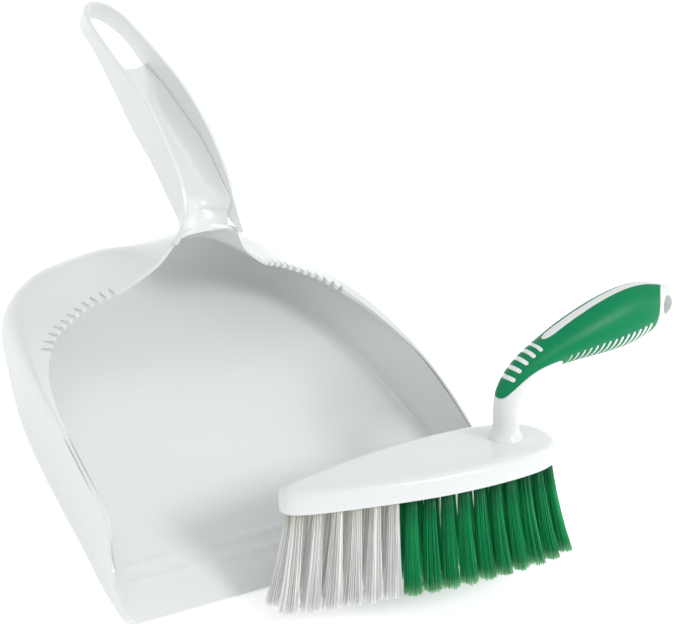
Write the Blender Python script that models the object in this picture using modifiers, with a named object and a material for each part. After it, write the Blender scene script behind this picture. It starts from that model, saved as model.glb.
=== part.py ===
"""Dust pan and brush set: a hooded pan with a channel handle, and a tufted brush resting against its lip.

World frame: +X right along the pan's lip, +Y from the lip to the back, +Z up, metres. The origin is on
the ground under the pan, ORIGIN_BEHIND_LIP from its lip. The pan is modelled from the middle of its lip,
which the empty pan_lip places. The brush has a frame of its own, with +X along the block towards the grip
and +Z from the bristles to the handle, which the empty brush_rest places against the lip.
"""

import math

import bmesh
import bpy
from mathutils import Matrix, Vector

MM = 0.001
SHARP_ANGLE = 40.0
MERGE = 0.01

# ---- pan: driving dimensions, in millimetres ----
ORIGIN_BEHIND_LIP = 110.0
WALL = 2.2
LIP_EDGE_FACTOR = 0.5
LIP_EDGE_DEPTH = 1.0
FILLET = 4.0
# Each station round the right half, from the lip's corner to the middle of the back: the base outline
# (x, y), the hood's shoulder (x, y, z) and the free edge (x, y, z).
PAN_STATIONS = (
    ((125.5, 0), (125.9, 0.2, 1.8), (126.2, 0, 2.8)),
    ((129.8, 5), (130.4, 4.8, 5.2), (130.8, 4.2, 6)),
    ((131, 20), (132, 20, 13.5), (132.5, 19, 13.2)),
    ((130.3, 34), (131, 34, 24), (130.5, 32.5, 23.5)),
    ((128.5, 50), (129, 50, 34), (127, 48, 33.5)),
    ((124.5, 95), (126, 95, 39), (124, 96, 38)),
    ((118.5, 136), (122, 137, 37.5), (114, 136, 38)),
    ((108, 171), (113, 173.5, 32), (98.5, 160, 40.5)),
    ((95, 202), (97, 205, 24), (81, 170.5, 45)),
    ((74.5, 216), (74, 221, 30.5), (65, 174.5, 50)),
    ((48, 220), (45, 224, 38), (50.5, 174.5, 56)),
    ((30, 221.5), (29, 223, 40), (32, 176, 70)),
    ((14, 223), (13, 218.5, 38), (20, 181, 84)),
    ((0, 223), (0, 218, 38.3), (0, 187, 85)),
)
SIDE_STATIONS = 8
NUB_STATION = 10
SIDE_STEPS = 3
REAR_STEPS = 2
# How far up the wall its straight part reaches, and how far along the hood its curved part does.
FOOT_SHARE, BROW_SHARE = 0.6, 0.4

# ---- pan handle: a strip that runs up one side, round the loop and back: (x, y, top z, bottom z) ----
STRIP_STATIONS = (
    (24.4, 178.2, 80.5, 78.5),
    (20.7, 181.8, 90, 83),
    (18.3, 188, 100, 86),
    (17.2, 200, 109, 91),
    (17, 225, 118, 97),
    (16, 252, 123, 100),
    (16, 280, 122, 107),
    (14.5, 304, 120.5, 110),
    (12.5, 319, 120, 109),
    (7.5, 329.5, 119, 108),
    (0, 333.4, 118.5, 107.5),
)
STRIP_DRAFT = 0.93
PAN_HANDLE_STEPS = 3
# The web between the strip's sides: (y, z of its middle, height of its edges above the middle).
WEB_STATIONS = (
    (184, 81, 0),
    (190, 86.5, 2),
    (197, 92.5, 4),
    (203, 96, 5.5),
    (207, 94.5, 7),
    (230, 97, 10),
    (262, 100.5, 9),
    (275, 106, 4),
    (284, 111.5, -4),
)
WEB_COLUMNS = 5

# ---- comb: slots that cut the hood's free edge into teeth ----
COMB_SLOTS = 11
COMB_PITCH = 5.4
COMB_FIRST = 5.5
SLOT_WIDTH = 2.4
SLOT_DEPTH = 6.0
SLOT_HEIGHT = 12.0
OVERSHOOT = 2.0

# ---- brush: in its own frame, with z = 0 at the block's underside ----
BRUSH_PLACE = (41.4, 1.5, 64.9)
BRUSH_LEAN = 31.96
BRUSH_RAISE = 4.62
BRUSH_YAW = -4.42
# Half of the block's outline from tip to heel: (x, half width).
BLOCK_OUTLINE = (
    (-91, 0), (-89.9, 4.2), (-86.3, 7.8), (-78, 11.4), (-64, 15.3), (-40, 20.8), (-14, 25.6), (11, 28.1),
    (37, 28), (58, 25.7), (70.5, 21.6), (78.3, 15.2), (82.4, 7.6), (83.4, 0),
)
# (height, inset from the full outline) of the rings that round the block's edges.
BLOCK_RINGS = ((0, 1.2), (1.2, 0), (8.6, 0), (11.2, 1.4), (12.6, 3.4), (13.4, 5.6))
OUTLINE_STEPS = 2

TUFT_PITCH = 10.4
FRONT_TUFTS = 16
TUFT_FIRST_X = -82.5
WHITE_TUFTS = 6
ROW_MARGIN = 6.5
# (name, side of the block, first tuft counted in pitches, number of tufts) of each row.
ROWS = (
    ("front", -1.0, 0.0, FRONT_TUFTS),
    ("middle", 0.0, 1.5, FRONT_TUFTS - 2),
    ("rear", 1.0, 0.0, FRONT_TUFTS),
)
TRIM_LENGTH = 55.0
ROOT_RADIUS = 2.3
HOLE_RADIUS = 2.6
ROOT_DEPTH = 8.0
ROOT_EXIT = 1.0
HOLE_DEPTH = 8.5
HOLE_SIDES = 10
TIP_RADIUS_X, TIP_RADIUS_Y = 5.3, 5.4
FLARE_X = 0.0022
LEAN_X = 0.04
FLARE_Y = 0.06
TUFT_SIDES = 8

# ---- brush handle: (x, z, half height, half width) of its centreline, from the block to the end ----
HANDLE_STATIONS = (
    (55, 9, 10, 10),
    (55, 14.4, 8.9, 8.9),
    (55, 20.8, 7.4, 7.4),
    (55.2, 29.8, 7.5, 7.5),
    (57, 37.8, 8.2, 8),
    (62.5, 46.3, 8.4, 8.3),
    (70.5, 52.8, 8.5, 8.9),
    (83, 58.3, 9.8, 10.2),
    (95, 62, 11.9, 11.8),
    (109, 65.2, 14.4, 13),
    (122, 67.7, 16.2, 13.5),
    (135.5, 70.2, 16.8, 13.2),
    (147.5, 72.6, 15.2, 12),
    (156.5, 74.3, 12, 9.8),
    (164.5, 75.4, 8, 6.8),
    (169.5, 76, 3.6, 3.4),
)
HANDLE_SIDES = 16
GRIP_FIRST, GRIP_LAST = 3, 13
GRIP_WALL = 1.6
GAP = 0.35
HANG_HOLE = (159.0, 74.0)
HANG_HOLE_RADIUS = 4.2
HANG_HOLE_LENGTH = 60.0
# The grip's slots: (number, first station, steps from one to the next, side of the grip), where a station has
# WINDOW_STEPS steps.
NECK_SLOTS = (5, 4.5, 4, 1)
PALM_SLOTS = (12, 7.5, 3, -1)
WINDOW_STEPS = 8
WINDOW_RADIUS = 1.1
WINDOW_SHARE = 0.9
WINDOW_SIDES = 8

WHITE = (0.90, 0.905, 0.90, 1.0)
GREEN = (0.005, 0.27, 0.10, 1.0)
WHITE_FILAMENT = (0.88, 0.88, 0.84, 1.0)
GREEN_FILAMENT = (0.005, 0.30, 0.09, 1.0)


# ---------------------------------------------------------------- helpers
def clear_scene():
    for item in list(bpy.data.objects):
        bpy.data.objects.remove(item, do_unlink=True)


def new_collection(name, hidden):
    collection = bpy.data.collections.new(name)
    collection.hide_render = hidden
    bpy.context.scene.collection.children.link(collection)
    return collection


def principled(name, color, roughness):
    material = bpy.data.materials.new(name)
    material.use_nodes = True
    shader = material.node_tree.nodes["Principled BSDF"]
    shader.inputs["Base Color"].default_value = color
    shader.inputs["Roughness"].default_value = roughness
    shader.inputs["Metallic"].default_value = 0.0
    return material


def object_from(bm, name, collection, material=None, parent=None):
    """A smooth-shaded object from bm, whose points are in millimetres."""
    bmesh.ops.scale(bm, vec=(MM, MM, MM), verts=bm.verts)
    mesh = bpy.data.meshes.new(name)
    bm.to_mesh(mesh)
    bm.free()
    mesh.shade_smooth()
    mesh.set_sharp_from_angle(angle=math.radians(SHARP_ANGLE))
    item = bpy.data.objects.new(name, mesh)
    if material:
        mesh.materials.append(material)
    else:
        item.hide_render = True
        item.display_type = "WIRE"
    item.parent = parent
    collection.objects.link(item)
    return item


def smooth_path(points, steps):
    """Catmull-Rom curve through the points, with a number of steps from each to the next."""
    knots = [Vector(p) for p in points]
    knots = [2 * knots[0] - knots[1], *knots, 2 * knots[-1] - knots[-2]]
    path = []
    for a, b, c, d in zip(knots, knots[1:], knots[2:], knots[3:]):
        for step in range(steps):
            t = step / steps
            path.append(0.5 * (2 * b + (c - a) * t + (2 * a - 5 * b + 4 * c - d) * t**2
                               + (3 * b - a - 3 * c + d) * t**3))
    path.append(knots[-2].copy())
    return path


def add_grid(bm, rows, wrap=False):
    """Quads between neighbouring rows of points; returns the rows of vertices."""
    grid = [[bm.verts.new(p) for p in row] for row in rows]
    for low, high in zip(grid, grid[1:]):
        count = len(low) if wrap else len(low) - 1
        for i in range(count):
            j = (i + 1) % len(low)
            bm.faces.new((low[i], low[j], high[j], high[i]))
    return grid


def loft(rings):
    """A closed solid through rings of equal length, with flat end caps."""
    bm = bmesh.new()
    grid = add_grid(bm, rings, wrap=True)
    bm.faces.new(reversed(grid[0]))
    bm.faces.new(grid[-1])
    bmesh.ops.recalc_face_normals(bm, faces=bm.faces)
    return bm


def solidify(item, thickness, outward=False, group=None):
    modifier = item.modifiers.new("wall", "SOLIDIFY")
    modifier.thickness = thickness * MM
    modifier.offset = 1.0 if outward else -1.0
    modifier.use_even_offset = True
    modifier.use_quality_normals = True
    if group:
        modifier.vertex_group = group
        modifier.thickness_vertex_group = LIP_EDGE_FACTOR
    item.modifiers.new("flat_faces", "TRIANGULATE")


def boolean(item, operation, other):
    modifier = item.modifiers.new(other.name, "BOOLEAN")
    modifier.operation = operation
    modifier.solver = "EXACT"
    modifier.object = other


def mirrored(point):
    return Vector((-point[0], point[1], point[2]))


# ---------------------------------------------------------------- pan
def pan_section(base, shoulder, edge, inward):
    """From the floor's rim, round the bottom fillet, up the wall and over the hood to its free edge."""
    radius = min(FILLET, 0.5 * shoulder.z)
    foot = base + (shoulder - base) * FOOT_SHARE
    brow = shoulder + (edge - shoulder) * BROW_SHARE
    section = [base + inward * radius, base + inward * 0.3 * radius + Vector((0, 0, 0.3 * radius))]
    section.append(base + (shoulder - base) * (radius / shoulder.z))
    for t in (0.0, 0.3, 0.55, 0.8, 1.0):
        section.append(foot * (1 - t) ** 2 + shoulder * 2 * t * (1 - t) + brow * t**2)
    section += [brow.lerp(edge, 0.5), edge.copy()]
    return section


def smooth_curve(column):
    """The stations' points joined by a smooth curve, with finer steps along the side than across the back."""
    points = [Vector((p[0], p[1], p[2] if len(p) > 2 else 0.0)) for p in column]
    side = smooth_path(points, SIDE_STEPS)[: SIDE_STATIONS * SIDE_STEPS]
    rear = smooth_path(points, REAR_STEPS)[SIDE_STATIONS * REAR_STEPS:]
    return side + rear


def pan_sections():
    """Sections round the whole pan, from the lip's right corner to its left one."""
    columns = [smooth_curve(column) for column in zip(*PAN_STATIONS)]
    bases = columns[0]
    half = []
    for i, (base, shoulder, edge) in enumerate(zip(*columns)):
        ahead = bases[min(i + 1, len(bases) - 1)] - bases[max(i - 1, 0)]
        if i == len(bases) - 1:
            ahead = Vector((-1, 0, 0))
        inward = Vector((-ahead.y, ahead.x, 0)).normalized()
        half.append(pan_section(base, shoulder, edge, inward))
    other = [[mirrored(p) for p in section] for section in reversed(half[:-1])]
    return half + other


def floor_rows(rim):
    """The floor inside the rim: straight along the lip and blended between the lip, the sides and the back."""
    side = SIDE_STATIONS * SIDE_STEPS
    right, back, left = rim[: side + 1], rim[side: len(rim) - side], rim[len(rim) - side - 1:][::-1]
    count = len(back) - 1
    rows = []
    for i in range(side + 1):
        v = i / side
        row = []
        for j in range(count + 1):
            u = j / count
            front = right[0].lerp(left[0], u)
            corners = right[0].lerp(left[0], u) * (1 - v) + back[0].lerp(back[-1], u) * v
            row.append(front * (1 - v) + back[j] * v + right[i].lerp(left[i], u) - corners)
        rows.append(row)
    return rows


def build_pan(parts, helpers, lip, material):
    sections = pan_sections()
    bm = bmesh.new()
    add_grid(bm, sections)
    add_grid(bm, floor_rows([section[0] for section in sections]))
    bmesh.ops.remove_doubles(bm, verts=bm.verts, dist=MERGE)
    bmesh.ops.recalc_face_normals(bm, faces=bm.faces)
    if min(bm.faces, key=lambda face: face.calc_center_median().z).normal.z > 0:
        bmesh.ops.reverse_faces(bm, faces=bm.faces)
    pan = object_from(bm, "dust_pan", parts, material, lip)
    body = pan.vertex_groups.new(name="full_wall")
    body.add([v.index for v in pan.data.vertices if v.co.y > LIP_EDGE_DEPTH * MM], 1.0, "REPLACE")
    solidify(pan, WALL, group="full_wall")
    for helper in (handle_strip(helpers, lip), handle_web(helpers, lip)):
        boolean(pan, "UNION", helper)
    boolean(pan, "DIFFERENCE", comb_slots(helpers, lip, sections))
    return pan


def handle_strip(helpers, lip):
    right = smooth_path([(x, y, top) for x, y, top, bottom in STRIP_STATIONS], PAN_HANDLE_STEPS)
    drafted = [(x * STRIP_DRAFT, y, bottom) for x, y, top, bottom in STRIP_STATIONS]
    lower = smooth_path(drafted, PAN_HANDLE_STEPS)
    rows = [[top, top.lerp(bottom, 0.5), bottom] for top, bottom in zip(right, lower)]
    rows += [[mirrored(p) for p in row] for row in reversed(rows[:-1])]
    bm = bmesh.new()
    add_grid(bm, rows)
    bmesh.ops.recalc_face_normals(bm, faces=bm.faces)
    if max(bm.faces, key=lambda face: face.calc_center_median().x).normal.x < 0:
        bmesh.ops.reverse_faces(bm, faces=bm.faces)
    strip = object_from(bm, "handle_strip", helpers, parent=lip)
    solidify(strip, WALL)
    return strip


def strip_half_width(y, z):
    """Half the distance between the handle's two sides, at the middle of their wall."""
    for (x0, y0, top0, low0), (x1, y1, top1, low1) in zip(STRIP_STATIONS, STRIP_STATIONS[1:]):
        if y <= y1:
            t = max(0.0, (y - y0) / (y1 - y0))
            x, top, low = x0 + (x1 - x0) * t, top0 + (top1 - top0) * t, low0 + (low1 - low0) * t
            depth = min(1.0, max(0.0, (top - z) / (top - low)))
            return x * (1 - (1 - STRIP_DRAFT) * depth) - 0.5 * WALL
    return 0.0


def handle_web(helpers, lip):
    rows = []
    for y, z, rise in smooth_path(WEB_STATIONS, PAN_HANDLE_STEPS):
        half = strip_half_width(y, z)
        across = [2 * i / WEB_COLUMNS - 1 for i in range(WEB_COLUMNS + 1)]
        rows.append([Vector((half * u, y, z + rise * abs(u) ** 3)) for u in across])
    bm = bmesh.new()
    add_grid(bm, rows)
    bmesh.ops.recalc_face_normals(bm, faces=bm.faces)
    if next(iter(bm.faces)).normal.z < 0:
        bmesh.ops.reverse_faces(bm, faces=bm.faces)
    web = object_from(bm, "handle_web", helpers, parent=lip)
    solidify(web, WALL, outward=True)
    return web


def point_at(edge, inner, distance):
    """The place, direction along the edge and direction into the hood at a distance along the free edge."""
    for a, b, c in zip(edge, edge[1:], inner):
        length = (b - a).length
        if distance <= length:
            along = (b - a).normalized()
            reach = c - a
            reach = (reach - along * reach.dot(along)).normalized()
            return a.lerp(b, distance / length), along, reach
        distance -= length
    raise ValueError("the comb is longer than the hood's edge")


def comb_slots(helpers, lip, sections):
    """Slots square to the free edge on both sides, counted from the handle's flare towards the lip."""
    middle = len(sections) // 2
    nub = middle - (len(PAN_STATIONS) - 1 - NUB_STATION) * REAR_STEPS
    edge = [section[-1] for section in sections[nub::-1]]
    inner = [section[-2] for section in sections[nub::-1]]
    bm = bmesh.new()
    for index in range(COMB_SLOTS):
        place, along, reach = point_at(edge, inner, COMB_FIRST + index * COMB_PITCH)
        normal = along.cross(reach).normalized()
        turn = Matrix((along, reach, normal)).transposed().to_4x4()
        center = place + reach * 0.5 * (SLOT_DEPTH - OVERSHOOT)
        for side in (1, -1):
            box = bmesh.ops.create_cube(bm, size=1.0)["verts"]
            bmesh.ops.scale(bm, vec=(SLOT_WIDTH, SLOT_DEPTH + OVERSHOOT, SLOT_HEIGHT), verts=box)
            bmesh.ops.transform(bm, matrix=Matrix.Translation(center) @ turn, verts=box)
            bmesh.ops.scale(bm, vec=(side, 1, 1), verts=box)
            if side < 0:
                bmesh.ops.reverse_faces(bm, faces=list({f for v in box for f in v.link_faces}))
    bmesh.ops.recalc_face_normals(bm, faces=bm.faces)
    return object_from(bm, "comb_slots", helpers, parent=lip)


# ---------------------------------------------------------------- brush
def block_half_width(x):
    """Half the block's width at x."""
    path = smooth_path([(*point, 0) for point in BLOCK_OUTLINE], OUTLINE_STEPS)
    for before, after in zip(path, path[1:]):
        if x <= after.x:
            t = max(0.0, (x - before.x) / (after.x - before.x))
            return before.y + (after.y - before.y) * t
    return 0.0


def block_outline(inset, z):
    """The block's outline, drawn in by inset."""
    half = smooth_path([(*point, 0) for point in BLOCK_OUTLINE], OUTLINE_STEPS)
    path = half + [Vector((p.x, -p.y, 0)) for p in reversed(half[1:-1])]
    ring = []
    for before, place, after in zip(path[-1:] + path[:-1], path, path[1:] + path[:1]):
        inward = Vector((after.y - before.y, before.x - after.x, 0)).normalized()
        ring.append(place + inward * inset + Vector((0, 0, z)))
    return ring


def handle_rings(stations, shrink=0.0):
    """Oval rings square to the handle's centreline."""
    path = smooth_path(stations, 2)
    rings = []
    for i, (x, z, high, wide) in enumerate([tuple(p) for p in path]):
        before, after = path[max(0, i - 1)], path[min(len(path) - 1, i + 1)]
        along = Vector((after[0] - before[0], 0, after[1] - before[1])).normalized()
        up = Vector((-along.z, 0, along.x))
        ring = []
        for k in range(HANDLE_SIDES):
            angle = 2 * math.pi * k / HANDLE_SIDES
            ring.append(Vector((x, 0, z)) + up * (high - shrink) * math.cos(angle)
                        + Vector((0, (wide - shrink) * math.sin(angle), 0)))
        rings.append(ring)
    return rings


def core_stations():
    """The handle's stations, drawn in under the grip to leave room for its wall and the gap."""
    drawn = []
    for i, (x, z, high, wide) in enumerate(HANDLE_STATIONS):
        inset = GRIP_WALL + GAP if GRIP_FIRST - 1 < i <= GRIP_LAST else 0.0
        drawn.append((x, z, high - inset, wide - inset))
    return drawn


def build_brush_body(parts, helpers, rest, material):
    body = object_from(loft([block_outline(inset, z) for z, inset in BLOCK_RINGS]),
                       "brush_body", parts, material, rest)
    core = object_from(loft(handle_rings(core_stations())), "handle_core", helpers, parent=rest)
    boolean(body, "UNION", core)
    holes = bmesh.new()
    for name, x, y, lean_x, lean_y in tuft_places():
        center = (x, y, 0.5 * (HOLE_DEPTH - OVERSHOOT))
        add_cylinder(holes, center, HOLE_RADIUS, HOLE_DEPTH + OVERSHOOT, "Z", HOLE_SIDES)
    boolean(body, "DIFFERENCE", object_from(holes, "tuft_holes", helpers, parent=rest))
    hang = bmesh.new()
    add_cylinder(hang, (HANG_HOLE[0], 0, HANG_HOLE[1]), HANG_HOLE_RADIUS, HANG_HOLE_LENGTH, "Y", HANDLE_SIDES)
    hole = object_from(hang, "hang_hole", helpers, parent=rest)
    boolean(body, "DIFFERENCE", hole)
    return body


def add_cylinder(bm, center, radius, depth, axis, sides):
    turn = Matrix.Rotation(math.pi / 2, 4, "X") if axis == "Y" else Matrix.Identity(4)
    bmesh.ops.create_cone(bm, cap_ends=True, segments=sides, radius1=radius, radius2=radius, depth=depth,
                          matrix=Matrix.Translation(center) @ turn)


def build_grip(parts, helpers, rest, material):
    rings = handle_rings(HANDLE_STATIONS)[2 * GRIP_FIRST: 2 * GRIP_LAST - 1]
    bm = bmesh.new()
    add_grid(bm, rings, wrap=True)
    bmesh.ops.recalc_face_normals(bm, faces=bm.faces)
    if max(bm.faces, key=lambda face: face.calc_center_median().z).normal.z < 0:
        bmesh.ops.reverse_faces(bm, faces=bm.faces)
    grip = object_from(bm, "grip_cover", parts, material, rest)
    solidify(grip, GRIP_WALL)
    boolean(grip, "DIFFERENCE", grip_windows(helpers, rest))
    return grip


def grip_windows(helpers, rest):
    """Slots across the top of the grip's neck, and across the underside of its palm."""
    path = smooth_path(HANDLE_STATIONS, WINDOW_STEPS)
    bm = bmesh.new()
    for count, first, pitch, side in (NECK_SLOTS, PALM_SLOTS):
        for index in range(count):
            step = int(first * WINDOW_STEPS) + pitch * index
            x, z, high, wide = path[step]
            ahead = path[step + 1]
            up = Vector((z - ahead[1], 0, ahead[0] - x)).normalized()
            center = Vector((x, 0, z)) + up * high * side
            add_cylinder(bm, center, WINDOW_RADIUS, WINDOW_SHARE * wide, "Y", WINDOW_SIDES)
    return object_from(bm, "grip_windows", helpers, parent=rest)


def tuft_places():
    """(name, x, y, lean along x, lean along y) of each tuft."""
    for row, side, shift, count in ROWS:
        for index in range(count):
            x = TUFT_FIRST_X + (index + shift) * TUFT_PITCH
            y = side * (block_half_width(x) - ROW_MARGIN)
            color = "white" if index + shift < WHITE_TUFTS - (side > 0) else "green"
            yield f"tuft_{row}_{color}_{index + 1:02d}", x, y, LEAN_X + FLARE_X * x, FLARE_Y * side


def build_tuft(place, parts, rest, materials):
    name, x, y, lean_x, lean_y = place
    rings = []
    for z, radius_x, radius_y in (
        (ROOT_DEPTH, ROOT_RADIUS, ROOT_RADIUS),
        (-ROOT_EXIT, ROOT_RADIUS, ROOT_RADIUS),
        (-TRIM_LENGTH, TIP_RADIUS_X, TIP_RADIUS_Y),
    ):
        middle = Vector((x + lean_x * max(0, -z), y + lean_y * max(0, -z), z))
        ring = []
        for k in range(TUFT_SIDES):
            angle = 2 * math.pi * (k + 0.5) / TUFT_SIDES
            ring.append(middle + Vector((radius_x * math.cos(angle), radius_y * math.sin(angle), 0)))
        rings.append(ring)
    object_from(loft(rings), name, parts, materials["white" in name], rest)


def frame_empty(name, collection, place, turn=(0, 0, 0), parent=None):
    """An empty that holds a piece's own frame: its place in millimetres, its turn in degrees."""
    empty = bpy.data.objects.new(name, None)
    empty.location = [value * MM for value in place]
    empty.rotation_euler = [math.radians(angle) for angle in turn]
    empty.parent = parent
    collection.objects.link(empty)
    return empty


def main():
    clear_scene()
    parts = new_collection("dust_pan_and_brush_set", False)
    helpers = new_collection("cutters", True)
    white = principled("white_plastic", WHITE, 0.25)
    lip = frame_empty("pan_lip", parts, (0, -ORIGIN_BEHIND_LIP, 0))
    build_pan(parts, helpers, lip, white)
    rest = frame_empty("brush_rest", parts, BRUSH_PLACE, (-BRUSH_LEAN, -BRUSH_RAISE, BRUSH_YAW), lip)
    build_brush_body(parts, helpers, rest, white)
    build_grip(parts, helpers, rest, principled("green_grip", GREEN, 0.45))
    filaments = {
        True: principled("white_filament", WHITE_FILAMENT, 0.5),
        False: principled("green_filament", GREEN_FILAMENT, 0.5),
    }
    for place in tuft_places():
        build_tuft(place, parts, rest, filaments)


main()
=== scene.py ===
import math

import bmesh
import bpy
import numpy as np
from mathutils import Matrix, Vector


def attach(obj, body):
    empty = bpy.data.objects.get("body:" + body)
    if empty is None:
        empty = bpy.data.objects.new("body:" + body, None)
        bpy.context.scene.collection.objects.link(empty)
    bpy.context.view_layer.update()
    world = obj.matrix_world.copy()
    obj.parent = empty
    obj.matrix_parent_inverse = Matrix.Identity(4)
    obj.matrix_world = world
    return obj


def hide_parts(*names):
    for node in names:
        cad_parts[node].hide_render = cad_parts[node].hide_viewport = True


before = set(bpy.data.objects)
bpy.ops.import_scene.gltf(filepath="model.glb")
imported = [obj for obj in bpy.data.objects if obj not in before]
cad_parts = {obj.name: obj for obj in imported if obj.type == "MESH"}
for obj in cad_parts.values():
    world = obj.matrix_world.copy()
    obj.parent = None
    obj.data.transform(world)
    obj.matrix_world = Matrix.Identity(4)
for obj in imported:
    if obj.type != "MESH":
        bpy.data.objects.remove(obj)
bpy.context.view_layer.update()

# Looks of the dust pan and brush set, in millimetres. The pan is built from the middle of its lip, and the
# brush in a frame of its own, with +X along the block towards the grip and +Z from the bristles to the
# handle.

MM = 0.001
UP = Vector((0, 0, 1))
MERGE = 0.01
JOINED_CREASE, COVER_CREASE = 38.0, 50.0

# ---- camera, in metres and degrees ----
CAMERA_TARGET = (0.0557, 0.0049, 0.0747)
CAMERA_AZIMUTH, CAMERA_ELEVATION, CAMERA_ROLL = -53.74, 39.67, 28.71
CAMERA_DISTANCE = 1.6738
CAMERA_LENS, SENSOR_WIDTH = 159.06, 36.0

# ---- pan ----
ORIGIN_BEHIND_LIP = 110.0
WALL = 2.2
LIP_WALL, LIP_TAPER = 1.0, 12.0
RIM_RADIUS, RIM_SEGMENTS, RIM_ANGLE = 0.75, 3, 55.0
# Each station round the right half, from the lip's corner to the middle of the back: the base outline
# (x, y), the hood's shoulder (x, y, z), the free edge (x, y, z) and the radius of the fillet between floor
# and wall.
PAN_STATIONS = (
    ((125.5, 0), (125.9, 0.2, 1.8), (126.2, 0, 2.8), 1),
    ((129.8, 5), (130.4, 4.8, 5.2), (130.8, 4.2, 6), 2),
    ((131, 20), (132, 20, 13.5), (132.5, 19, 13.2), 3.5),
    ((130.3, 34), (131, 34, 24), (130.5, 32.5, 23.5), 4),
    ((128.5, 50), (129, 50, 34), (127, 48, 33.5), 4.5),
    ((124.5, 95), (126, 95, 39), (124, 96, 38), 5),
    ((118.5, 136), (122, 137, 37.5), (114, 136, 38), 6),
    ((108, 171), (113, 173.5, 32), (98.5, 160, 40.5), 9),
    ((95, 202), (97, 205, 24), (81, 170.5, 45), 11),
    ((74.5, 216), (74, 221, 30.5), (65, 174.5, 50), 14),
    ((48, 220), (45, 224, 38), (50.5, 174.5, 56), 15),
    ((30, 221.5), (29, 223, 40), (32, 176, 70), 15),
    ((14, 223), (13, 218.5, 38), (20, 181, 84), 15),
    ((0, 223), (0, 218, 38.3), (0, 187, 85), 15),
)
SIDE_STATIONS = 8
NUB_STATION = 10
STATION_STEPS = 10
# How far up the wall its straight part reaches, and how far along the hood its curved part does.
FOOT_SHARE, BROW_SHARE = 0.6, 0.4
# Points along a section's fillet, straight wall, shoulder and hood.
SECTION_POINTS = (9, 6, 15, 8)
RIDGES = (24.0, 34.0)
RIDGE_HEIGHT, RIDGE_WIDTH = 0.8, 1.6
RIDGE_END, RIDGE_FADE = 118.0, 8.0

# ---- pan handle ----
# The strip that runs up one side, round the loop and back: (x, y, top z, bottom z).
STRIP_STATIONS = (
    (24.2, 178.4, 83, 81.6),
    (20.7, 182, 91.5, 86.4),
    (18.3, 188, 100, 89),
    (17.2, 200, 109, 91),
    (17, 225, 118, 97),
    (16, 252, 123, 100),
    (16, 280, 122, 107),
    (14.5, 304, 120.5, 110),
    (12.5, 319, 120, 109),
    (7.5, 329.5, 119, 108),
    (0, 333.4, 118.5, 107.5),
)
STRIP_DRAFT = 0.93
STRIP_STEPS = 10
STRIP_POINTS = 8
# The channel's floor: (y, z of its middle, rise of its edges, how far its edges lag behind its middle).
WEB_STATIONS = (
    (184, 81, 0, 0),
    (189, 85.5, 2, 3),
    (193.5, 88.6, 3.5, 6),
    (194.8, 90.8, 5, 7),
    (197, 92.2, 6, 8),
    (200, 92.8, 7, 9),
    (204, 92.6, 9, 9),
    (214, 93.8, 12, 6),
    (230, 96.5, 14, 2),
    (262, 100.5, 12, 0),
    (275, 106, 5, -1),
    (284, 111, -3, -4),
)
WEB_STEPS = 8
WEB_COLUMNS = 41
WEB_CURL = 0.97

# ---- comb: wedges cut into the hood's free edge ----
COMB_SLOTS = 11
COMB_PITCH = 5.4
COMB_FIRST = 5.5
SLOT_MOUTH = 1.7
SLOT_ROOT = 1.0
SLOT_DEPTH = 5.6
SLOT_REACH = 3.0
OVERSHOOT = 2.0

# ---- brush ----
BRUSH_PLACE = (41.4, 1.5, 64.9)
BRUSH_TURN = (-31.96, -4.62, -4.42)
# Half of the block's outline from tip to heel: (x, half width).
BLOCK_OUTLINE = (
    (-91, 0), (-89.9, 4.2), (-86.3, 7.8), (-78, 11.4), (-64, 15.3), (-40, 20.8), (-14, 25.6), (11, 28.1),
    (37, 28), (58, 25.7), (70.5, 21.6), (78.3, 15.2), (82.4, 7.6), (83.4, 0),
)
BLOCK_HEIGHT = 13.4
OUTLINE_STEP, OUTLINE_CURVE_STEPS = 1.5, 12
LOWER_ROUND, UPPER_ROUND = 1.4, 3.6
SIDE_TOP, SIDE_BULGE = 9.2, 0.2
CROWN_INSET = 6.6
RIM_SWEEP = 1.3
# Points along the block's lower round, side, rim and crown.
PROFILE_POINTS = (6, 6, 9, 9)
TUFT_PITCH = 10.4
FRONT_TUFTS = 16
TUFT_FIRST_X = -82.5
WHITE_TUFTS = 6
ROW_MARGIN = 6.5
# (name, side of the block, first tuft counted in pitches, number of tufts) of each row.
ROWS = (
    ("front", -1.0, 0.0, FRONT_TUFTS),
    ("middle", 0.0, 1.5, FRONT_TUFTS - 2),
    ("rear", 1.0, 0.0, FRONT_TUFTS),
)
TRIM_LENGTH = 55.0
ROOT_RADIUS = 3.1
TIP_RADII = (5.4, 5.1)
FLARE_X = 0.0022
LEAN_X = 0.04
FLARE_Y = 0.06
FILAMENTS = 240
FILAMENT_RADIUS = 0.21
FILAMENT_SIDES = 3
FILAMENT_LEVELS = 6
FILAMENT_TAPER = 0.15
ROOT_DEPTH = 1.0
STRAY = 0.35
# How unevenly the ends are cut: the usual shortfall, its spread, the outer filaments' own and the excess.
TRIM_SHORT, TRIM_SPREAD, TRIM_DROOP, TRIM_EXCESS = 0.1, 0.35, 0.6, 0.4
# How soon a bundle fans out, and the wave in each filament.
FAN_START, FAN_GROWTH = 0.62, 0.38
WAVE, WAVE_SWEEP, WAVE_FADE = 0.18, 3.6, 1.4

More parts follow.
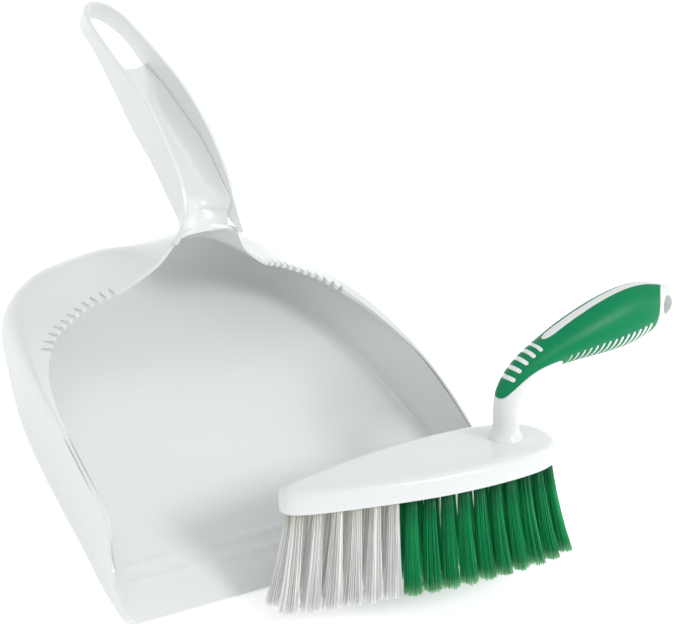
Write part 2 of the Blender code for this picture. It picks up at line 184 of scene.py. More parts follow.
# (x, z, half height, half width) of the handle's centreline, from the block to the end.
HANDLE_STATIONS = (
    (55, 9, 10.4, 10.4),
    (55, 13.6, 9.9, 9.9),
    (55, 15.2, 8.9, 8.9),
    (55, 17.6, 7.9, 7.9),
    (55, 21.6, 7.4, 7.4),
    (55.2, 29.8, 7.5, 7.5),
    (57, 37.8, 8.2, 8),
    (62.5, 46.3, 8.4, 8.3),
    (70.5, 52.8, 8.5, 8.9),
    (83, 58.3, 9.8, 10.2),
    (95, 62, 11.9, 11.8),
    (109, 65.2, 14.4, 13),
    (122, 67.7, 16.2, 13.5),
    (135.5, 70.2, 16.8, 13.2),
    (147.5, 72.6, 15.2, 12),
    (156.5, 74.3, 12, 9.8),
    (164.5, 75.4, 8, 6.8),
    (169.5, 76, 3.6, 3.4),
)
# The overmould's outline, in places along the handle and in millimetres or shares of half the girth round it.
GRIP_START_BEFORE_X, GRIP_START_Z = 60.0, 35.6
PALM_X, NOSE_RADIUS = 85.0, 3.2
WHITE_START, WHITE_GROWTH, WHITE_POWER = 0.02, 0.6, 0.35
NECK_SLOTS, NECK_SLOT_FIRST, NECK_SLOT_PITCH, NECK_SLOT_RADIUS = 5, 9.5, 4.9, 1.15
NECK_SLOT_SLANT, NECK_SLOT_REACH = 0.2, 5.6
STRIP_X, TOP_STRIP, TOP_STRIP_RUN = 81.0, 3.2, 7.0
PALM_SLOTS, PALM_SLOT_FIRST, PALM_SLOT_PITCH = 14, 3.2, 4.3
PALM_SLOT_TOP, PALM_SLOT_BOTTOM = (2.4, 0.63), (-2.2, 0.9)
PALM_SLOT_RADIUS, PALM_SLOT_GROWTH = 0.62, 0.045
END_X, END_SWEEP = 148.5, 14.0
HANDLE_STEP, HANDLE_CURVE_STEPS = 0.5, 24
HANDLE_SIDES = 160
COVER_WALL = 0.9
SEAM_DROP, SEAM_ROUND = 0.25, 0.6
# The core's inset where it shows, its gap to the overmould, and where it starts and ends to drop under it.
CORE_INSET, CORE_GAP = 0.12, 0.1
CORE_LEAD, CORE_RUN = 0.1, 0.5
LEAST_CROSSING = 0.02
HANG_HOLE = (159.5, 74.0)
HANG_HOLE_RADIUS, HANG_HOLE_STRETCH = 4.2, 1.3
HANG_HOLE_LENGTH, HANG_HOLE_SIDES = 60.0, 64

# ---- looks ----
PLASTIC_ROUGHNESS = (0.16, 0.26)
FILAMENT_SHADES = (0.62, 1.3)
# Filament colours at the root (darker there as painted shade among the bundles), along the body and at the
# cut tip, then roughness and a painted glow for light passing through the filaments.
BRISTLES = {
    "white": ((0.74, 0.74, 0.66), (0.86, 0.86, 0.84), (0.93, 0.93, 0.93), 0.32, 0.09),
    "green": ((0.0, 0.12, 0.035), (0.0, 0.33, 0.10), (0.25, 0.6, 0.3), 0.3, 0.03),
}
FLOOR_HALF_SIZE, FLOOR_DROP, FLOOR_GLOW = 4.0, 0.0006, 0.3
SKY_COLOR, SKY_STRENGTH = (0.96, 0.98, 1.0, 1), 0.72
# Area lights, in metres and watts: name, place, target, size and power.
LIGHTS = (
    ("key", (-0.9, 0.7, 1.6), (0, 0, 0.03), (0.7, 0.7), 2.5),
    ("high", (0.5, -0.9, 1.5), (0, 0.02, 0.03), (0.5, 0.5), 10.0),
    ("right", (1.3, -0.6, 0.5), (0, 0, 0.05), (0.5, 0.6), 3.0),
)


# ---------------------------------------------------------------- geometry helpers
def catmull(points, steps):
    """Catmull-Rom curve through the points, with a number of steps from each to the next."""
    p = np.asarray(points, float)
    p = np.vstack([2 * p[0] - p[1], p, 2 * p[-1] - p[-2]])
    t = np.linspace(0, 1, steps, endpoint=False)[:, None]
    runs = []
    for a, b, c, d in zip(p, p[1:], p[2:], p[3:]):
        runs.append(0.5 * (2 * b + (c - a) * t + (2 * a - 5 * b + 4 * c - d) * t**2
                           + (3 * b - a - 3 * c + d) * t**3))
    return np.vstack([*runs, p[-2:-1]])


def even_steps(path, step, axes):
    """The path read again at even distances, measured over the first few of its columns."""
    lengths = np.linalg.norm(np.diff(path[:, :axes], axis=0), axis=1)
    along = np.concatenate([[0], np.cumsum(lengths)])
    count = int(round(along[-1] / step))
    wanted = np.linspace(0, along[-1], count + 1)
    return np.column_stack([np.interp(wanted, along, column) for column in path.T]), wanted


def add_grid(bm, rows, wrap=False):
    """Quads between neighbouring rows of points; returns the rows of vertices."""
    grid = [[bm.verts.new(p) for p in row] for row in rows]
    for low, high in zip(grid, grid[1:]):
        for i in range(len(low) if wrap else len(low) - 1):
            j = (i + 1) % len(low)
            bm.faces.new((low[i], low[j], high[j], high[i]))
    return grid


def finish_mesh(bm, name):
    bmesh.ops.scale(bm, vec=(MM, MM, MM), verts=bm.verts)
    mesh = bpy.data.meshes.new(name)
    bm.to_mesh(mesh)
    bm.free()
    mesh.shade_smooth()
    return mesh


def new_object(name, mesh, material=None):
    item = bpy.data.objects.new(name, mesh)
    if material:
        mesh.materials.append(material)
    bpy.context.scene.collection.objects.link(item)
    return item


def apply_modifiers(item):
    """Replaces the object's mesh with what its modifiers make of it."""
    graph = bpy.context.evaluated_depsgraph_get()
    mesh = bpy.data.meshes.new_from_object(item.evaluated_get(graph))
    item.modifiers.clear()
    item.data = mesh
    return item


def thicken(item, thickness, outward=False, group=None, thin=0.5):
    """Gives the sheet a wall with rounded rims."""
    wall = item.modifiers.new("wall", "SOLIDIFY")
    wall.thickness = thickness * MM
    wall.offset = 1.0 if outward else -1.0
    wall.use_even_offset = True
    wall.use_quality_normals = True
    if group:
        wall.vertex_group = group
        wall.thickness_vertex_group = thin
    rim = item.modifiers.new("rim", "BEVEL")
    rim.width = RIM_RADIUS * MM
    rim.segments = RIM_SEGMENTS
    rim.limit_method = "ANGLE"
    rim.angle_limit = math.radians(RIM_ANGLE)
    return apply_modifiers(item)


def combine(item, operation, others):
    """Joins the others to the object, or cuts them from it, and removes them."""
    for other in others:
        step = item.modifiers.new(other.name, "BOOLEAN")
        step.operation = operation
        step.solver = "EXACT"
        step.object = other
    apply_modifiers(item)
    for other in others:
        bpy.data.objects.remove(other, do_unlink=True)
    item.data.shade_smooth()
    item.data.set_sharp_from_angle(angle=math.radians(JOINED_CREASE))


def turned_outward(bm, probe):
    """Makes the faces agree. The probe picks one face, and says which way that face has to point."""
    bmesh.ops.recalc_face_normals(bm, faces=bm.faces)
    face, wanted = probe(bm)
    if face.normal.dot(wanted) < 0:
        bmesh.ops.reverse_faces(bm, faces=bm.faces)


def place_pan(item):
    item.data.transform(Matrix.Translation((0, -ORIGIN_BEHIND_LIP * MM, 0)))


def brush_matrix():
    turn = Matrix.Identity(3)
    for angle, axis in zip(BRUSH_TURN, "XYZ"):
        turn = Matrix.Rotation(math.radians(angle), 3, axis) @ turn
    place = Vector(BRUSH_PLACE) - Vector((0, ORIGIN_BEHIND_LIP, 0))
    return Matrix.Translation(place * MM) @ turn.to_4x4()


def place_brush(item):
    item.data.transform(brush_matrix())


# ---------------------------------------------------------------- materials
def node(tree, kind, **values):
    made = tree.nodes.new(kind)
    for name, value in values.items():
        if name in made.inputs:
            made.inputs[name].default_value = value
        else:
            setattr(made, name, value)
    return made


def new_material(name, roughness, **settings):
    material = bpy.data.materials.new(name)
    material.use_nodes = True
    shader = material.node_tree.nodes["Principled BSDF"]
    shader.inputs["Roughness"].default_value = roughness
    for key, value in settings.items():
        shader.inputs[key.replace("_", " ")].default_value = value
    return material, material.node_tree, shader


def speckle(tree, shader, scale, low, high, bump_scale, bump):
    """A colour that wanders between two tints, and a fine bump."""
    place = node(tree, "ShaderNodeTexCoord").outputs["Object"]
    cloud = node(tree, "ShaderNodeTexNoise", Scale=scale, Detail=3.0)
    ramp = node(tree, "ShaderNodeMix", data_type="RGBA")
    ramp.inputs[6].default_value = (*low, 1)
    ramp.inputs[7].default_value = (*high, 1)
    grain = node(tree, "ShaderNodeTexNoise", Scale=bump_scale, Detail=2.0)
    raised = node(tree, "ShaderNodeBump", Strength=bump, Distance=0.0004)
    tree.links.new(place, cloud.inputs["Vector"])
    tree.links.new(place, grain.inputs["Vector"])
    tree.links.new(cloud.outputs["Fac"], ramp.inputs[0])
    tree.links.new(ramp.outputs[2], shader.inputs["Base Color"])
    tree.links.new(grain.outputs["Fac"], raised.inputs["Height"])
    tree.links.new(raised.outputs["Normal"], shader.inputs["Normal"])
    return cloud


def white_plastic():
    """Glossy moulded polypropylene with a faint ripple, and roughness that varies a little."""
    material, tree, shader = new_material("white_plastic_moulded", 0.2, IOR=1.49)
    cloud = speckle(tree, shader, scale=14.0, low=(0.79, 0.81, 0.80), high=(0.82, 0.835, 0.83),
                    bump_scale=260.0, bump=0.06)
    spread = node(tree, "ShaderNodeMapRange")
    spread.inputs["To Min"].default_value, spread.inputs["To Max"].default_value = PLASTIC_ROUGHNESS
    tree.links.new(cloud.outputs["Fac"], spread.inputs["Value"])
    tree.links.new(spread.outputs["Result"], shader.inputs["Roughness"])
    return material


def green_rubber():
    """Soft-touch overmould: satin, with a fine matte grain."""
    material, tree, shader = new_material("green_soft_grip", 0.36, IOR=1.4, Specular_IOR_Level=0.3)
    speckle(tree, shader, scale=40.0, low=(0.0, 0.20, 0.072), high=(0.0, 0.25, 0.095),
            bump_scale=2500.0, bump=0.12)
    return material


def filament_material(name, root, body, tip, roughness, painted_glow):
    """Filaments: darker towards the roots as painted shade among the crowded bundles, paler at the cut ends,
    each a little different.
    """
    material, tree, shader = new_material(name, roughness, IOR=1.45, Emission_Strength=painted_glow)
    reach = node(tree, "ShaderNodeAttribute", attribute_name="reach")
    own = node(tree, "ShaderNodeAttribute", attribute_name="own")
    ramp = node(tree, "ShaderNodeValToRGB")
    stops = ramp.color_ramp.elements
    # The root colour is painted shade, where the bundles crowd together.
    stops[0].position, stops[0].color = 0.0, (*root, 1)
    stops[1].position, stops[1].color = 1.0, (*tip, 1)
    middle = stops.new(0.35)
    middle.color = (*body, 1)
    late = stops.new(0.9)
    late.color = (*body, 1)
    shade = node(tree, "ShaderNodeMapRange")
    shade.inputs["To Min"].default_value, shade.inputs["To Max"].default_value = FILAMENT_SHADES
    mix = node(tree, "ShaderNodeVectorMath", operation="SCALE")
    tree.links.new(reach.outputs["Fac"], ramp.inputs["Fac"])
    tree.links.new(own.outputs["Fac"], shade.inputs["Value"])
    tree.links.new(ramp.outputs["Color"], mix.inputs[0])
    tree.links.new(shade.outputs["Result"], mix.inputs["Scale"])
    tree.links.new(mix.outputs["Vector"], shader.inputs["Base Color"])
    # The filaments glow in their own colour: painted light standing in for light passing through them.
    tree.links.new(mix.outputs["Vector"], shader.inputs["Emission Color"])
    return material


# ---------------------------------------------------------------- pan
def bezier(a, b, c, t):
    """Points at each t on the curve from a to c that b pulls on."""
    t = np.asarray(t)[:, None]
    return a * (1 - t) ** 2 + b * 2 * t * (1 - t) + c * t**2


def pan_section(base, shoulder, edge, inward, fillet):
    """From the floor's rim, round the bottom fillet, up the wall and over the hood to its free edge."""
    fillet = min(fillet, 0.5 * shoulder[2])
    reach = base + (shoulder - base) * (fillet / shoulder[2])
    foot = base + (shoulder - base) * FOOT_SHARE
    brow = shoulder + (edge - shoulder) * BROW_SHARE
    fillet_run, wall_run, shoulder_run, hood_run = (np.linspace(0, 1, count) for count in SECTION_POINTS)
    return np.vstack([
        bezier(base + inward * fillet, base, reach, fillet_run),
        reach + (foot - reach) * wall_run[1:, None],
        bezier(foot, shoulder, brow, shoulder_run[1:]),
        brow + (edge - brow) * hood_run[1:, None],
    ])


def pan_sections():
    """Sections round the whole pan, from the lip's right corner to its left one."""
    flat = [(*base, 0, *shoulder, *edge, fillet) for base, shoulder, edge, fillet in PAN_STATIONS]
    curve = catmull(flat, STATION_STEPS)
    ahead = np.gradient(curve[:, :2], axis=0)
    ahead[-1] = (-1, 0)
    half = []
    for row, (dx, dy) in zip(curve, ahead):
        inward = np.array((-dy, dx, 0)) / math.hypot(dx, dy)
        half.append(pan_section(row[0:3], row[3:6], row[6:9], inward, row[9]))
    half = np.array(half)
    return np.concatenate([half, (half * (-1, 1, 1))[-2::-1]])


def floor_rows(rim):
    """The floor inside the rim, blended between the lip, the sides and the back."""
    side = SIDE_STATIONS * STATION_STEPS
    right, back, left = rim[:side + 1], rim[side:len(rim) - side], rim[len(rim) - side - 1:][::-1]
    v = np.linspace(0, 1, side + 1)[:, None, None]
    u = np.linspace(0, 1, len(back))[None, :, None]
    front = right[0] * (1 - u) + left[0] * u
    corners = front * (1 - v) + (back[0] * (1 - u) + back[-1] * u) * v
    return front * (1 - v) + back[None] * v + right[:, None] * (1 - u) + left[:, None] * u - corners


def raise_ridges(rows):
    """The floor with two shallow ridges along the lip, which fade out before the side walls."""
    for ridge in RIDGES:
        fade = np.clip((RIDGE_END - np.abs(rows[..., 0])) / RIDGE_FADE, 0, 1)
        rows[..., 2] += RIDGE_HEIGHT * fade * np.exp(-((rows[..., 1] - ridge) / RIDGE_WIDTH) ** 2)
    return rows


def pan_shell(sections):
    """The floor, walls and hood, thinner towards the lip."""
    bm = bmesh.new()
    add_grid(bm, sections)
    add_grid(bm, raise_ridges(floor_rows(sections[:, 0])))
    bmesh.ops.remove_doubles(bm, verts=bm.verts, dist=MERGE)
    turned_outward(bm, lambda b: (min(b.faces, key=lambda f: f.calc_center_median().z), -UP))
    shell = new_object("dust_pan_moulding", finish_mesh(bm, "dust_pan_moulding"))
    thick = shell.vertex_groups.new(name="thick")
    for vertex in shell.data.vertices:
        thick.add([vertex.index], min(1.0, max(0.0, vertex.co.y / (LIP_TAPER * MM))), "REPLACE")
    return thicken(shell, WALL, group="thick", thin=LIP_WALL / WALL)


def handle_strip():
    """The handle's two sides and the loop that joins them at the end."""
    depth = np.linspace(0, 1, STRIP_POINTS)
    draft = 1 - (1 - STRIP_DRAFT) * depth
    rows = []
    for x, y, top, bottom in catmull(STRIP_STATIONS, STRIP_STEPS):
        rows.append(np.column_stack([x * draft, np.full(STRIP_POINTS, y), top + (bottom - top) * depth]))
    rows = np.array(rows)
    rows = np.concatenate([rows, (rows * (-1, 1, 1))[-2::-1]])
    bm = bmesh.new()
    add_grid(bm, rows)
    turned_outward(bm, lambda b: (max(b.faces, key=lambda f: f.calc_center_median().x), Vector((1, 0, 0))))
    return thicken(new_object("strip", finish_mesh(bm, "strip")), WALL)


def strip_half_width(y, z):
    """Half the distance between the handle's two sides, at the middle of their wall."""
    steps = catmull(STRIP_STATIONS, STRIP_STEPS)
    x, top, low = (np.interp(y, steps[:, 1], steps[:, i]) for i in (0, 2, 3))
    depth = min(1.0, max(0.0, (top - z) / (top - low)))
    return x * (1 - (1 - STRIP_DRAFT) * depth) - 0.5 * WALL


def handle_web():
    """The channel's floor, which curves up into the handle's sides and ends in a ledge above the hood."""
    across = np.sin(np.linspace(-0.5, 0.5, WEB_COLUMNS + 1) * math.pi)
    curl = 1 - np.sqrt(1 - (WEB_CURL * across) ** 2)
    curl /= curl[0]
    rows = []
    for y, z, rise, sweep in catmull(WEB_STATIONS, WEB_STEPS):
        places = y - sweep * across**2
        halves = np.array([strip_half_width(place, z) for place in places])
        rows.append(np.column_stack([halves * across, places, z + rise * curl]))
    bm = bmesh.new()
    add_grid(bm, rows)
    turned_outward(bm, lambda b: (next(iter(b.faces)), UP))
    return thicken(new_object("web", finish_mesh(bm, "web")), WALL, outward=True)


def comb_cutter(sections):
    """Wedges that leave pointed teeth along the hood's free edge, counted from the handle towards the lip."""
    edge, inner = sections[:, -1], sections[:, -3]
    nub = NUB_STATION * STATION_STEPS
    edge, inner = edge[nub::-1], inner[nub::-1]
    steps = np.linalg.norm(np.diff(edge, axis=0), axis=1)
    along = np.concatenate([[0], np.cumsum(steps)])
    bm = bmesh.new()
    for index in range(COMB_SLOTS):
        distance = COMB_FIRST + index * COMB_PITCH
        place = Vector([np.interp(distance, along, edge[:, k]) for k in range(3)])
        inside = Vector([np.interp(distance, along, inner[:, k]) for k in range(3)])
        ahead = Vector([np.interp(distance + 1, along, edge[:, k]) for k in range(3)]) - place
        ahead.normalize()
        reach = inside - place
        reach = (reach - ahead * reach.dot(ahead)).normalized()
        normal = ahead.cross(reach).normalized()
        for side in (1, -1):
            rings = []
            for level in (-SLOT_REACH, SLOT_REACH):
                ring = [place + ahead * a + reach * b + normal * level for a, b in (
                    (-SLOT_MOUTH, -OVERSHOOT), (SLOT_MOUTH, -OVERSHOOT),
                    (0.5 * SLOT_ROOT, SLOT_DEPTH), (-0.5 * SLOT_ROOT, SLOT_DEPTH))]
                rings.append([Vector((p.x * side, p.y, p.z)) for p in ring])
            low, high = add_grid(bm, rings, wrap=True)
            bm.faces.new(low[::-1])
            bm.faces.new(high)
            if side < 0:
                bmesh.ops.reverse_faces(bm, faces=list({f for v in low + high for f in v.link_faces}))
    return new_object("comb", finish_mesh(bm, "comb"))


def build_pan(material):
    sections = pan_sections()
    pan = pan_shell(sections)
    combine(pan, "UNION", [handle_strip(), handle_web()])
    combine(pan, "DIFFERENCE", [comb_cutter(sections)])
    pan.data.materials.clear()
    pan.data.materials.append(material)
    place_pan(pan)
    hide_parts("dust_pan")
    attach(pan, "pan")


# ---------------------------------------------------------------- brush block and handle
def block_outline():
    """The block's full outline at even steps, and the direction into the block at each point."""
    half = catmull(BLOCK_OUTLINE, OUTLINE_CURVE_STEPS)
    path = np.vstack([half, half[-2::-1] * (1, -1)])
    path = even_steps(path, OUTLINE_STEP, 2)[0][:-1]
    ahead = np.roll(path, -1, axis=0) - np.roll(path, 1, axis=0)
    inward = np.column_stack([ahead[:, 1], -ahead[:, 0]])
    return path, inward / np.linalg.norm(inward, axis=1)[:, None]


def block_profile():
    """(inset, height) up the block's side, from under its lower edge, over its crown to near the middle."""
    low_points, side_points, rim_points, crown_points = PROFILE_POINTS
    low = [(LOWER_ROUND * (1 - math.sin(a)), LOWER_ROUND * (1 - math.cos(a)))
           for a in np.linspace(0, math.pi / 2, low_points)]
    side = [(-SIDE_BULGE * math.sin(math.pi * t), LOWER_ROUND + (SIDE_TOP - LOWER_ROUND) * t)
            for t in np.linspace(0, 1, side_points)[1:]]
    rim = [(UPPER_ROUND * (1 - math.cos(a)), SIDE_TOP + UPPER_ROUND * math.sin(a))
           for a in np.linspace(0, RIM_SWEEP, rim_points)[1:]]
    inset, height = rim[-1]
    crown = [(inset + (CROWN_INSET - inset) * t, height + (BLOCK_HEIGHT - height) * math.sin(t * math.pi / 2))
             for t in np.linspace(0, 1, crown_points)[1:]]
    return low + side + rim + crown


def brush_block():
    outline, inward = block_outline()
    rings = []
    for inset, height in block_profile():
        rings.append([Vector((x, y, height)) for x, y in outline + inward * inset])
    bm = bmesh.new()
    grid = add_grid(bm, rings, wrap=True)
    bm.faces.new(grid[0])
    bm.faces.new(grid[-1])
    bmesh.ops.recalc_face_normals(bm, faces=bm.faces)
    return new_object("brush_block", finish_mesh(bm, "brush_block"))


def handle_frame():
    """Places at even steps along the handle: (x, z, half height, half width), the distance and the up."""
    path, along = even_steps(catmull(HANDLE_STATIONS, HANDLE_CURVE_STEPS), HANDLE_STEP, 2)
    ahead = np.gradient(path[:, :2], axis=0)
    ahead /= np.linalg.norm(ahead, axis=1)[:, None]
    return path, along, np.column_stack([-ahead[:, 1], ahead[:, 0]])


def distance_at(path, along, x):
    """Distance along the centreline where it passes x, beyond the neck's bend."""
    return float(np.interp(x, path[:, 0], along))


def capsule(s, t, start, end, radius):
    """Distance outside a capsule from start to end, in the surface's own millimetres."""
    ax, ay = start
    bx, by = end
    dx, dy = bx - ax, by - ay
    k = np.clip(((s - ax) * dx + (t - ay) * dy) / (dx * dx + dy * dy), 0, 1)
    return np.hypot(s - ax - k * dx, t - ay - k * dy) - radius


def green_field(path, along):
    """Distance inside the overmould's outline at each (place, angle) of the handle; negative is white."""
    angles = np.linspace(0, 2 * math.pi, HANDLE_SIDES, endpoint=False)
    turn = np.where(angles > math.pi, 2 * math.pi - angles, angles)
    s, a = np.meshgrid(along, turn, indexing="ij")
    radius = 0.5 * (path[:, 2] + path[:, 3])[:, None]
    t, girth = a * radius, math.pi * radius
    rising = path[:, 0] < GRIP_START_BEFORE_X
    start = float(np.interp(GRIP_START_Z, path[rising, 1], along[rising]))
    palm = distance_at(path, along, PALM_X)
    reach = np.clip((s - start) / (palm - start), 0, 1)
    white, behind = t - girth * (WHITE_START + WHITE_GROWTH * reach**WHITE_POWER), palm - s
    corner = NOSE_RADIUS - np.hypot(NOSE_RADIUS - white, NOSE_RADIUS - behind)
    inside = (white < NOSE_RADIUS) & (behind < NOSE_RADIUS)
    field = np.minimum(-np.where(inside, corner, np.minimum(white, behind)), s - start)
    for index in range(NECK_SLOTS):
        at = start + NECK_SLOT_FIRST + NECK_SLOT_PITCH * index
        end = (at + NECK_SLOT_SLANT, NECK_SLOT_REACH)
        field = np.minimum(field, capsule(s, t, (at, 0), end, NECK_SLOT_RADIUS))
    first = distance_at(path, along, STRIP_X)
    grown = np.clip((s - first) / TOP_STRIP_RUN, 0, 1)
    strip = t - TOP_STRIP * np.sqrt(1 - (1 - grown) ** 2)
    field = np.minimum(field, np.where(s > first, strip, np.hypot(s - first, t)))
    for index in range(PALM_SLOTS):
        at = palm + PALM_SLOT_FIRST + PALM_SLOT_PITCH * index
        half_girth = float(np.interp(at, along, girth[:, 0]))
        top, bottom = ((at + step, share * half_girth) for step, share in (PALM_SLOT_TOP, PALM_SLOT_BOTTOM))
        field = np.minimum(field, capsule(s, t, top, bottom, PALM_SLOT_RADIUS + PALM_SLOT_GROWTH * index))
    cut = distance_at(path, along, END_X) + END_SWEEP * (1 - np.clip(t / girth, 0, 1)) ** 2
    return np.minimum(field, cut - s)


def handle_points(path, up, offset):
    """Points of the handle's surface, moved out by offset, an array of (place, angle)."""
    angles = np.linspace(0, 2 * math.pi, HANDLE_SIDES, endpoint=False)
    high = (path[:, 2][:, None] + offset) * np.cos(angles)
    wide = (path[:, 3][:, None] + offset) * np.sin(angles)
    return np.stack([path[:, 0][:, None] + up[:, 0][:, None] * high, wide,
                     path[:, 1][:, None] + up[:, 1][:, None] * high], axis=-1)


def handle_core(path, up, field):
    """The white handle: flush where it shows and drawn in under the overmould."""
    under = np.clip((field + CORE_LEAD) / CORE_RUN, 0, 1)
    points = handle_points(path, up, -CORE_INSET - (COVER_WALL + CORE_GAP) * under)
    bm = bmesh.new()
    grid = add_grid(bm, points, wrap=True)
    bm.faces.new(grid[0])
    bm.faces.new(grid[-1])
    bmesh.ops.recalc_face_normals(bm, faces=bm.faces)
    return new_object("handle_core", finish_mesh(bm, "handle_core"))


def clipped_faces(bm, points, field):
    """The part of the surface where field is positive, with its border at the exact crossing."""
    rows, columns = field.shape
    corners, crossings = {}, {}

    def corner(key):
        if key not in corners:
            corners[key] = bm.verts.new(points[key])
        return corners[key]

    def crossing(a, b):
        key = (a, b) if a < b else (b, a)
        if key not in crossings:
            fa, fb = field[key[0]], field[key[1]]
            t = min(1 - LEAST_CROSSING, max(LEAST_CROSSING, fa / (fa - fb)))
            crossings[key] = bm.verts.new(points[key[0]] * (1 - t) + points[key[1]] * t)
        return crossings[key]

    for i in range(rows - 1):
        if field[i:i + 2].max() <= 0:
            continue
        for j in range(columns):
            k = (j + 1) % columns
            cell = ((i, j), (i, k), (i + 1, k), (i + 1, j))
            kept = [field[c] > 0 for c in cell]
            if not any(kept):
                continue
            loop = []
            for index in range(4):
                here, after = cell[index], cell[(index + 1) % 4]
                if kept[index]:
                    loop.append(corner(here))
                if kept[index] != kept[(index + 1) % 4]:
                    loop.append(crossing(here, after))
            bm.faces.new(loop)


def grip_cover(path, up, field, material):
    """The overmould as a sleeve with rounded seams."""
    drop = SEAM_DROP * (1 - np.sqrt(1 - (1 - np.clip(field / SEAM_ROUND, 0, 1)) ** 2))
    points = handle_points(path, up, -drop)
    bm = bmesh.new()
    clipped_faces(bm, points, field)
    turned_outward(bm, lambda b: (max(b.faces, key=lambda f: f.calc_center_median().z), UP))
    cover = new_object("grip_overmould", finish_mesh(bm, "grip_overmould"), material)
    wall = cover.modifiers.new("wall", "SOLIDIFY")
    wall.thickness = COVER_WALL * MM
    wall.offset = -1.0
    apply_modifiers(cover)
    cover.data.shade_smooth()
    cover.data.set_sharp_from_angle(angle=math.radians(COVER_CREASE))
    place_brush(cover)
    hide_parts("grip_cover")
    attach(cover, "brush")


def hang_hole_cutter():
    bm = bmesh.new()
    bmesh.ops.create_cone(bm, cap_ends=True, segments=HANG_HOLE_SIDES, radius1=HANG_HOLE_RADIUS,
                          radius2=HANG_HOLE_RADIUS, depth=HANG_HOLE_LENGTH)
    bmesh.ops.scale(bm, vec=(1.0, HANG_HOLE_STRETCH, 1.0), verts=bm.verts)
    turn = Matrix.Translation((HANG_HOLE[0], 0, HANG_HOLE[1])) @ Matrix.Rotation(math.pi / 2, 4, "X")
    bmesh.ops.transform(bm, matrix=turn, verts=bm.verts)
    return new_object("hang_hole", finish_mesh(bm, "hang_hole"))


def build_brush(white, green):
    path, along, up = handle_frame()
    field = green_field(path, along)
    block = brush_block()
    combine(block, "UNION", [handle_core(path, up, field)])
    combine(block, "DIFFERENCE", [hang_hole_cutter()])
    block.data.materials.clear()
    block.data.materials.append(white)
    place_brush(block)
    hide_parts("brush_body")
    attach(block, "brush")
    grip_cover(path, up, field, green)


# ---------------------------------------------------------------- tufts
def block_half_width(x):
    half = catmull(BLOCK_OUTLINE, OUTLINE_CURVE_STEPS)
    return float(np.interp(x, half[:, 0], half[:, 1]))


def tuft_places():
    """(name, x, y, lean along x, lean along y) of each tuft."""
    for row, side, shift, count in ROWS:
        for index in range(count):
            x = TUFT_FIRST_X + (index + shift) * TUFT_PITCH
            y = side * (block_half_width(x) - ROW_MARGIN)
            color = "white" if index + shift < WHITE_TUFTS - (side > 0) else "green"
            yield f"tuft_{row}_{color}_{index + 1:02d}", x, y, LEAN_X + FLARE_X * x, FLARE_Y * side


def tuft_mesh(name, x, y, lean_x, lean_y, seed):
    """A bundle of filaments that leave one hole and fan out to the trimmed ends."""
    chance = np.random.default_rng(seed)
    levels = np.linspace(0, 1, FILAMENT_LEVELS)
    turns = np.linspace(0, 2 * math.pi, FILAMENT_SIDES, endpoint=False)
    points, reach, own = [], [], []
    for _ in range(FILAMENTS):
        radius, angle = math.sqrt(chance.random()), 2 * math.pi * chance.random()
        disc = np.array((radius * math.cos(angle), radius * math.sin(angle)))
        root = np.array((x, y)) + disc * (ROOT_RADIUS - FILAMENT_RADIUS)
        stray = chance.normal(0, STRAY, 2)
        tip = np.array((x + lean_x * TRIM_LENGTH, y + lean_y * TRIM_LENGTH))
        tip = tip + disc * TIP_RADII + stray
        length = TRIM_LENGTH - TRIM_SHORT + chance.normal(0, TRIM_SPREAD)
        length = length - TRIM_DROOP * abs(chance.normal(0, 1)) * radius
        length = min(length, TRIM_LENGTH + TRIM_EXCESS)
        wave, phase = chance.normal(0, WAVE, 2), 2 * math.pi * chance.random()
        depth = ROOT_DEPTH - length * levels
        spread = levels * (FAN_START + FAN_GROWTH * levels)
        center = root + (tip - root) * spread[:, None]
        swing = np.sin(phase + WAVE_SWEEP * levels)[:, None] * (levels * (WAVE_FADE - levels))[:, None]
        center = center + wave * swing
        thick = FILAMENT_RADIUS * (1 - FILAMENT_TAPER * levels)
        ring = np.stack([np.cos(turns + phase), np.sin(turns + phase)], axis=-1)
        tube = center[:, None] + thick[:, None, None] * ring
        points.append(np.concatenate([tube, np.broadcast_to(depth[:, None, None], (*tube.shape[:2], 1))], -1))
        reach.append(np.repeat(levels, FILAMENT_SIDES))
        own.append(np.full(levels.size * FILAMENT_SIDES, chance.random()))
    points = np.array(points)
    count = FILAMENT_LEVELS * FILAMENT_SIDES
    base = np.arange(FILAMENTS)[:, None] * count
    corner = np.arange(FILAMENT_SIDES)
    after = (corner + 1) % FILAMENT_SIDES
    rows = base[:, :, None] + np.arange(FILAMENT_LEVELS - 1)[None, :, None] * FILAMENT_SIDES
    sides = np.stack([rows + corner, rows + after, rows + after + FILAMENT_SIDES,
                      rows + corner + FILAMENT_SIDES], -1).reshape(-1, 4)
    ends = np.vstack([base + count - FILAMENT_SIDES + corner, base + corner[::-1]])
    mesh = bpy.data.meshes.new(name)
    mesh.from_pydata((points.reshape(-1, 3) * MM).tolist(), [], sides.tolist() + ends.tolist())
    for label, values in (("reach", reach), ("own", own)):
        layer = mesh.attributes.new(label, "FLOAT", "POINT")
        layer.data.foreach_set("value", np.concatenate(values).astype(np.float32))
    mesh.shade_smooth()
    mesh.flip_normals()
    return mesh


def build_tufts(materials):
    for seed, (name, x, y, lean_x, lean_y) in enumerate(tuft_places()):
        color = "white" if "_white_" in name else "green"
        tuft = new_object(name + "_bundle", tuft_mesh(name, x, y, lean_x, lean_y, seed), materials[color])
        place_brush(tuft)
        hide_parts(name)
        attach(tuft, "brush")


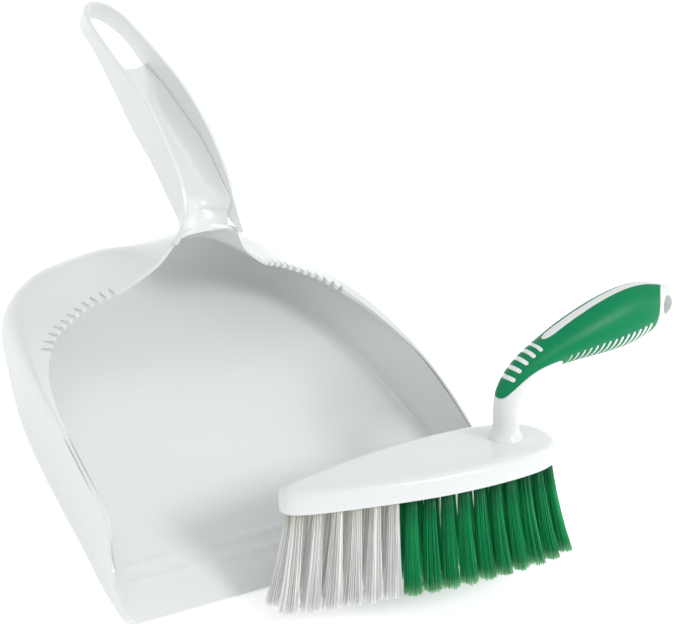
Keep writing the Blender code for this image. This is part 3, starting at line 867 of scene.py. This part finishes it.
# ---------------------------------------------------------------- studio
def pale_floor():
    bm = bmesh.new()
    bmesh.ops.create_grid(bm, x_segments=2, y_segments=2, size=FLOOR_HALF_SIZE)
    mesh = bpy.data.meshes.new("floor")
    bm.to_mesh(mesh)
    bm.free()
    material, tree, shader = new_material("pale_floor", 0.9, Emission_Color=(1, 1, 1, 1),
                                          Emission_Strength=FLOOR_GLOW)
    speckle(tree, shader, scale=3.0, low=(0.96, 0.96, 0.96), high=(0.98, 0.98, 0.98), bump_scale=30.0,
            bump=0.0)
    floor = new_object("floor", mesh, material)
    floor.location.z = -FLOOR_DROP


def area_light(name, place, target, size, power):
    data = bpy.data.lights.new(name, "AREA")
    data.shape = "RECTANGLE"
    data.size, data.size_y = size
    data.energy = power
    light = bpy.data.objects.new(name, data)
    light.location = place
    light.rotation_euler = (Vector(target) - Vector(place)).to_track_quat("-Z", "Y").to_euler()
    bpy.context.scene.collection.objects.link(light)


def studio():
    world = bpy.data.worlds.new("soft_studio")
    bpy.context.scene.world = world
    world.use_nodes = True
    sky = world.node_tree.nodes["Background"]
    sky.inputs["Color"].default_value = SKY_COLOR
    sky.inputs["Strength"].default_value = SKY_STRENGTH
    for light in LIGHTS:
        area_light(*light)


def camera():
    data = bpy.data.cameras.new("camera")
    data.lens = CAMERA_LENS
    data.sensor_width = SENSOR_WIDTH
    data.clip_start, data.clip_end = 0.05, 50
    item = bpy.data.objects.new("camera", data)
    azimuth, elevation = math.radians(CAMERA_AZIMUTH), math.radians(CAMERA_ELEVATION)
    back = Vector((math.cos(elevation) * math.sin(azimuth), -math.cos(elevation) * math.cos(azimuth),
                   math.sin(elevation)))
    item.location = Vector(CAMERA_TARGET) + back * CAMERA_DISTANCE
    level = back.to_track_quat("Z", "Y").to_matrix()
    roll = Matrix.Rotation(math.radians(CAMERA_ROLL), 3, "Z")
    item.rotation_euler = (level @ roll).to_euler()
    bpy.context.scene.collection.objects.link(item)
    bpy.context.scene.camera = item


def main():
    bpy.context.scene.view_settings.view_transform = "Standard"
    camera()
    studio()
    pale_floor()
    white, green = white_plastic(), green_rubber()
    build_pan(white)
    build_brush(white, green)
    build_tufts({color: filament_material(color + "_bristle", *looks) for color, looks in BRISTLES.items()})


main()
